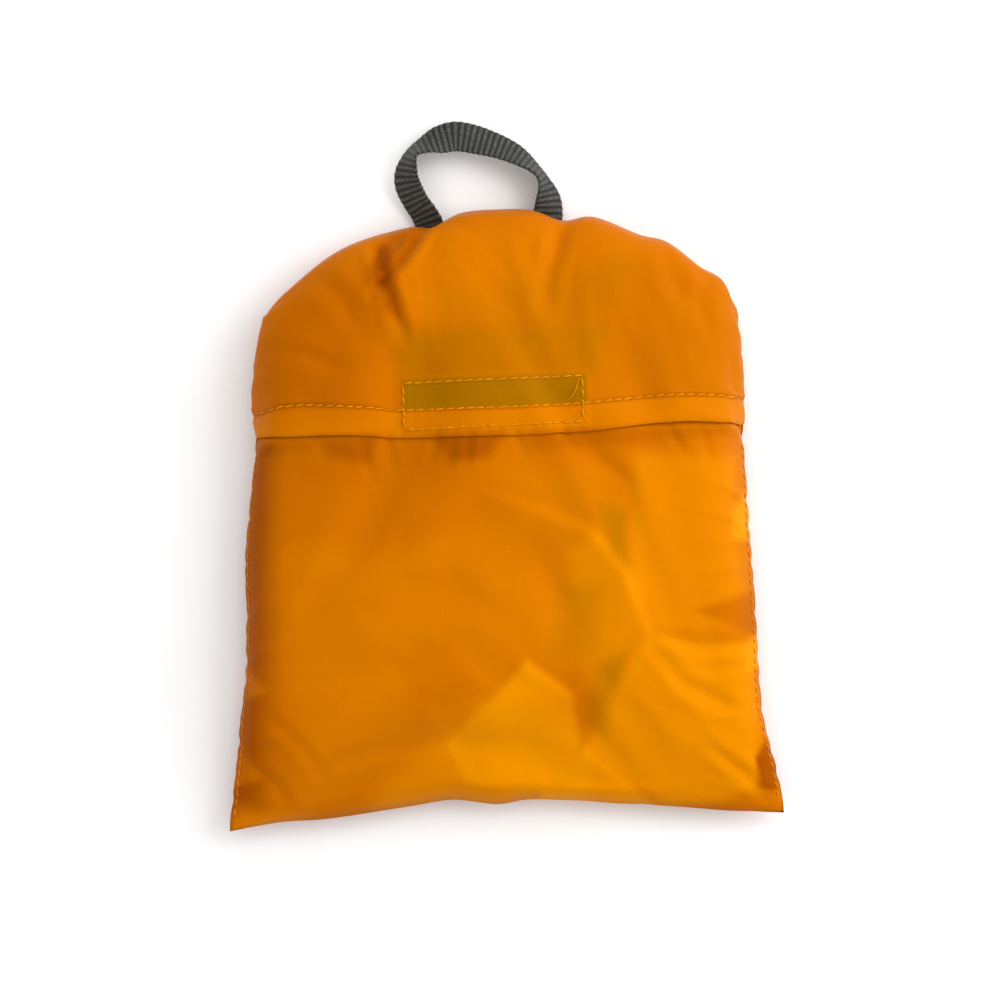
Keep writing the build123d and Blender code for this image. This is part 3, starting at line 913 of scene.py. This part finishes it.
def stitches(seed, line, surface, pitch, radius, raised=0.0, gap=0.10, slant=0.22):
    """A row of stitches along a line of (x, y) points on a surface, each a little slanted."""
    line = np.array(line, float)
    run = np.concatenate([[0], np.cumsum(np.linalg.norm(np.diff(line, axis=0), axis=1))])
    count = max(int(round(run[-1] / pitch)), 1)
    step = run[-1] / count
    vertices, faces = [], []
    draw = random.Random(seed * 31 + count)
    for number in range(count):
        slack = draw.uniform(-0.06, 0.06)
        ends = ((number + gap / 2 + slack * 0.5) * step, (number + 1 - gap / 2 + slack * 0.5) * step)
        path = []
        for t in np.linspace(0, 1, 7):
            s = ends[0] + (ends[1] - ends[0]) * t
            x, y = np.interp(s, run, line[:, 0]), np.interp(s, run, line[:, 1])
            way = line[min(int(np.searchsorted(run, s)), len(line) - 1)] - line[0]
            way = way / max(np.hypot(*way), 1e-6)
            x, y = x - way[1] * slant * (2 * t - 1), y + way[0] * slant * (2 * t - 1)
            bow = math.sin(math.pi * t)
            path.append(surface(x, y, raised + radius * (-0.6 + 1.4 * bow ** 0.5)))
        thread_tube(path, radius, vertices, faces)
    return vertices, faces


def stitch_piece(name, rows_of_stitches):
    vertices, faces = [], []
    for more_vertices, more_faces in rows_of_stitches:
        start = len(vertices)
        vertices.extend(more_vertices)
        faces.extend(tuple(start + k for k in face) for face in more_faces)
    return add_mesh(name, vertices, faces, THREAD)


STITCH = 3.5
THREAD_R = 0.31
HEM_END = 82.5       # the hem's stitches start this far out
MIDDLE_GAP = 0.6     # and stop this far from the line between the flap's halves
# Outer corners of the stitched box on each side: x, lower y and upper y.
BOX = {-1: (-31.6, FLAP_Y + 1.2, FLAP_Y + 17.2), 1: (29.6, FLAP_Y + 2.4, FLAP_Y + 17.9)}
low_mid, high_mid = ((BOX[-1][k] + BOX[1][k]) / 2 for k in (1, 2))
stitch_pieces = {}
for side in halves:
    xs = np.linspace(side * HEM_END, side * MIDDLE_GAP, 40)
    hem_row = stitches(3, [(x, hem_line_y(x)) for x in xs], on_flap, STITCH, THREAD_R)
    stitch_pieces[side, "hem"] = stitch_piece(f"flap_hem_stitching_{side_name[side]}", [hem_row])
    x_end, low_end, high_end = BOX[side]
    box_lines = [(3, [(side * MIDDLE_GAP, low_mid), (x_end, low_end)]),
                 (4, [(side * MIDDLE_GAP, high_mid), (x_end, high_end)]),
                 (4, [(x_end, low_end + 0.8), (x_end, high_end - 0.6)])]
    box_rows = [stitches(seed, line, on_flap, STITCH, THREAD_R) for seed, line in box_lines]
    stitch_pieces[side, "box"] = stitch_piece(f"hook_patch_stitching_{side_name[side]}", box_rows)

# Loose end of thread lying on the flap below the box's upper right corner.
loose_line = curve_through([(28.6, FLAP_Y + 17.0), (27.6, FLAP_Y + 14.0), (26.2, FLAP_Y + 11.2),
                            (23.8, FLAP_Y + 9.4)], 14)
loose_path = [on_flap(x, y, 0.55 + 0.35 * math.sin(3.0 * k / 13)) for k, (x, y) in enumerate(loose_line)]
vertices, faces = [], []
thread_tube(loose_path, 0.2, vertices, faces)
loose_thread = add_mesh("loose_thread_end", vertices, faces, THREAD)


# ---- pieces on and in the pouch --------------------------------------------------------------
on_panel = Surface(panel_grid).at
MOUTH_HEM = 10.0


def mouth_hem_piece():
    """The turned-under layer along the front panel's mouth, on its inside."""
    low = int(np.searchsorted(panel_grid[:, columns // 2, 1], MOUTH_Y - MOUTH_HEM))
    grid = (panel_grid + normals_of(panel_grid) * (-CLOTH - 0.12))[low:mouth_row + 1, 5:columns - 5]
    return cloth_piece("mouth_hem_cloth", grid, 0.22)


mouth_hem = mouth_hem_piece()
loop_patch = tape("loop_patch_tape", on_panel, (PATCH_LOW.x, PATCH_HIGH.x), 0.06, 0.4, 1.0)
mouth_line = [(x, panel_grid[mouth_row, columns // 2, 1] - MOUTH_HEM + 1.2) for x in np.linspace(-76, 76, 60)]
mouth_stitching = stitch_piece("mouth_hem_stitches", [stitches(5, mouth_line, on_panel, STITCH, 0.3)])
inset = 1.2
tape_box = [(PATCH_LOW.x + inset, PATCH_LOW.y + inset), (PATCH_HIGH.x - inset, PATCH_LOW.y + inset),
            (PATCH_HIGH.x - inset, PATCH_HIGH.y - inset), (PATCH_LOW.x + inset, PATCH_HIGH.y - inset)]
loop_patch_stitching = stitch_piece(
    "loop_patch_stitches", [stitches(4, [a, b], on_panel, STITCH, 0.22, raised=0.5)
                            for a, b in zip(tape_box, tape_box[1:] + tape_box[:1])])

seam_pieces = {}
for side in (-1, 1):
    # Small ticks of the seam's thread show along the edge of the lower panel.
    edge_column = 2 if side < 0 else columns - 3
    ticks = [(x, y) for x, y, _ in panel_grid[8:rows:4, edge_column] if y < FLAP_Y - 4]
    seam_pieces[side, "stitching"] = stitch_piece(
        f"{side_name[side]}_seam_stitches", [stitches(4, ticks, on_panel, 3.4, 0.24, gap=0.25)])
    # The seam allowance stands into the pouch, half way between front and back.
    half_way = 0.5 * (panel_grid[::2, ::2] + back)
    strip = half_way[4:-4, 1:6] if side < 0 else half_way[4:-4, -6:-1]
    seam_pieces[side, "allowance"] = cloth_piece(f"{side_name[side]}_seam_allowance_cloth", strip, 0.5, 0.0)
    free_edge = strip[:, -1] if side < 0 else strip[:, 0]
    binding = stitches(8, free_edge[:, :2], Surface(strip).at, 2.2, 0.42, slant=0.5)
    seam_pieces[side, "overlock"] = stitch_piece(f"{side_name[side]}_overlock_thread", [binding])

# ---- webbing grab loop ----------------------------------------------------------------------
# Centre line of the webbing, with how far it is twisted out of the sack's plane at each point.
WEB_WIDTH = 10.2
WEB_THICK = 1.1
WEB_ROUTE = [
    (-20.0, 86.0, 0.95, 0), (-20.2, 92.0, 1.0, 0), (-20.6, 96.5, 2.0, 4), (-21.4, 100.4, 3.2, 20),
    (-23.4, 104.4, 4.4, 30), (-25.7, 107.9, 5.2, 32), (-28.2, 113.6, 6.4, 30), (-28.5, 118.6, 7.2, 42),
    (-26.4, 124.6, 7.6, 66), (-21.6, 127.4, 7.6, 50), (-16.1, 129.1, 7.4, 14), (-9.7, 129.8, 7.0, 2),
    (1.1, 126.9, 6.6, 28), (9.6, 123.0, 6.4, 46), (16.6, 117.4, 6.2, 70), (19.2, 112.9, 5.6, 64),
    (20.2, 107.8, 4.8, 34), (20.2, 103.0, 3.8, 12), (19.6, 98.0, 2.4, 0), (18.4, 92.0, 1.0, 0),
    (18.0, 86.0, 0.95, 0)]
RIB = 2.0            # from one rib to the next along the webbing
YARN = 0.95          # width of one yarn across the webbing


def webbing():
    along_count = 900
    across_count = 48
    route = curve_through(WEB_ROUTE, along_count)
    centre, twist = route[:, :3], np.radians(route[:, 3])
    run = np.concatenate([[0], np.cumsum(np.linalg.norm(np.diff(centre, axis=0), axis=1))])
    vertices, rib_shading = [], []
    for k in range(along_count):
        a, b = centre[max(k - 1, 0)], centre[min(k + 1, along_count - 1)]
        tangent = (b - a) / np.linalg.norm(b - a)
        flat = np.cross(tangent, (0, 0, 1.0))
        flat /= np.linalg.norm(flat)
        up = np.cross(flat, tangent)
        width_way = math.cos(twist[k]) * flat + math.sin(twist[k]) * up
        face_way = np.cross(width_way, tangent)
        wobble = 0.12 * noise.noise(Vector((run[k] / 9, 0, 5)))
        for s in range(across_count * 2):
            front_side = s < across_count
            q = s if front_side else 2 * across_count - 1 - s
            w = -1 + 2 * q / (across_count - 1)
            phase = run[k] / RIB * 2 * math.pi
            shift = math.pi * (int(run[k] / RIB + 0.5) % 2)
            rib = 0.5 + 0.5 * math.cos(phase)
            rim = math.sqrt(max(1 - abs(w) ** 10, 0))
            yarn = 0.5 + 0.5 * math.cos(w * WEB_WIDTH / 2 / YARN * 2 * math.pi + shift)
            thick = (WEB_THICK / 2 - 0.04 + 0.20 * rib ** 0.7 * (0.55 + 0.45 * yarn)) * (0.35 + 0.65 * rim)
            selvedge = 0.10 * math.cos(phase + 1.2) * (abs(w) > 0.85)
            half = WEB_WIDTH / 2 + wobble + selvedge
            face = thick if front_side else -thick
            vertices.append(centre[k] + width_way * w * half + face_way * face)
            # Painted shade: low values darken the grooves between ribs and yarns in the webbing's colour.
            rib_shading.append(rib * (0.45 + 0.55 * yarn))
    ring = across_count * 2
    faces = []
    for k in range(along_count - 1):
        for s in range(ring):
            a = k * ring + s
            b = k * ring + (s + 1) % ring
            faces.append((a, a + ring, b + ring, b))
    faces.append(tuple(range(ring)))
    faces.append(tuple(range((along_count - 1) * ring, along_count * ring))[::-1])
    piece = add_mesh("webbing_grab_loop", vertices, faces, WEBBING)
    layer = piece.data.attributes.new("rib", "FLOAT", "POINT")
    layer.data.foreach_set("value", np.array(rib_shading, np.float32))
    return piece


web = webbing()


TACK_Y = 88.0
TACK_HALF = 4.2      # half the width of a bartack
TACK_TURNS = 22


def bartack(name, x):
    """Dense zigzag of dark thread across the webbing's end, on the outside of the back."""
    vertices, faces = [], []
    for row in range(2):
        path = []
        for k in range(TACK_TURNS + 1):
            across_web = -TACK_HALF + 2 * TACK_HALF * k / TACK_TURNS
            path.append((x + across_web, TACK_Y + 3.0 * row + (0.8 if k % 2 else -0.8), 0.42))
        thread_tube(path, 0.2, vertices, faces)
    return add_mesh(name, vertices, faces, DARK_THREAD)


bartacks = {"left": bartack("left_bartack_thread", TAILS_X[0]),
            "right": bartack("right_bartack_thread", TAILS_X[1])}

# ---- lights and floor -----------------------------------------------------------------------
def area_light(name, place, size, power, aim=(0, 0, 0.01)):
    lamp = bpy.data.objects.new(name, bpy.data.lights.new(name, "AREA"))
    lamp.data.size = size
    lamp.data.energy = power
    lamp.location = place
    lamp.rotation_euler = (Vector(place) - Vector(aim)).to_track_quat("Z", "Y").to_euler()
    scene.collection.objects.link(lamp)


area_light("key", (0.85, 0.30, 0.60), 0.90, 9.5)
area_light("top", (0.05, 0.75, 0.90), 0.90, 3.0)
area_light("fill", (-0.8, -0.3, 0.9), 1.00, 2.0)
world = bpy.data.worlds.new("studio")
world.use_nodes = True
world.node_tree.nodes["Background"].inputs["Color"].default_value = (1, 1, 1, 1)
world.node_tree.nodes["Background"].inputs["Strength"].default_value = 0.70
scene.world = world
scene.view_settings.view_transform = "Standard"

floor_mesh = bpy.data.meshes.new("floor")
FLOOR = 3.0
floor_mesh.from_pydata([(-FLOOR, -FLOOR, 0), (FLOOR, -FLOOR, 0), (FLOOR, FLOOR, 0), (-FLOOR, FLOOR, 0)], [],
                       [(0, 1, 2, 3)])
floor = bpy.data.objects.new("floor", floor_mesh)
scene.collection.objects.link(floor)
paper = Nodes("paper")
paper.set(Base_Color=paper.mix(paper.grain(40.0), (0.90, 0.90, 0.90, 1), (0.93, 0.93, 0.93, 1)),
          Roughness=0.9)
floor_mesh.materials.append(paper.material)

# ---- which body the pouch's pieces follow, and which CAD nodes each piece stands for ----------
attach(pouch_cloth, "sack")
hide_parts("back_panel", "front_panel")


def on_sack(piece, node):
    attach(piece, "sack")
    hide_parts(node)


on_sack(mouth_hem, "mouth_hem")
on_sack(mouth_stitching, "mouth_hem_stitching")
on_sack(loop_patch, "loop_patch")
on_sack(loop_patch_stitching, "loop_patch_stitching")
for side in (-1, 1):
    name = side_name[side]
    on_sack(seam_pieces[side, "stitching"], f"{name}_seam_stitching")
    on_sack(seam_pieces[side, "allowance"], f"{name}_seam_allowance")
    on_sack(seam_pieces[side, "overlock"], f"{name}_overlock")
    on_sack(bartacks[name], f"{name}_bartack")
for side, piece in flap_pieces.items():
    swing(piece)
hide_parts("flap_panel")
for side, piece in hem_pieces.items():
    swing(piece)
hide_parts("flap_hem")
for side, piece in patch_pieces.items():
    swing(piece)
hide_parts("hook_patch")
for (side, kind), piece in stitch_pieces.items():
    swing(piece)
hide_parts("flap_hem_stitching")
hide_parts("hook_patch_stitching")
swing(loose_thread)
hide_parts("loose_thread")

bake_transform(web)
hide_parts("grab_loop", "left_loop_tail", "right_loop_tail")
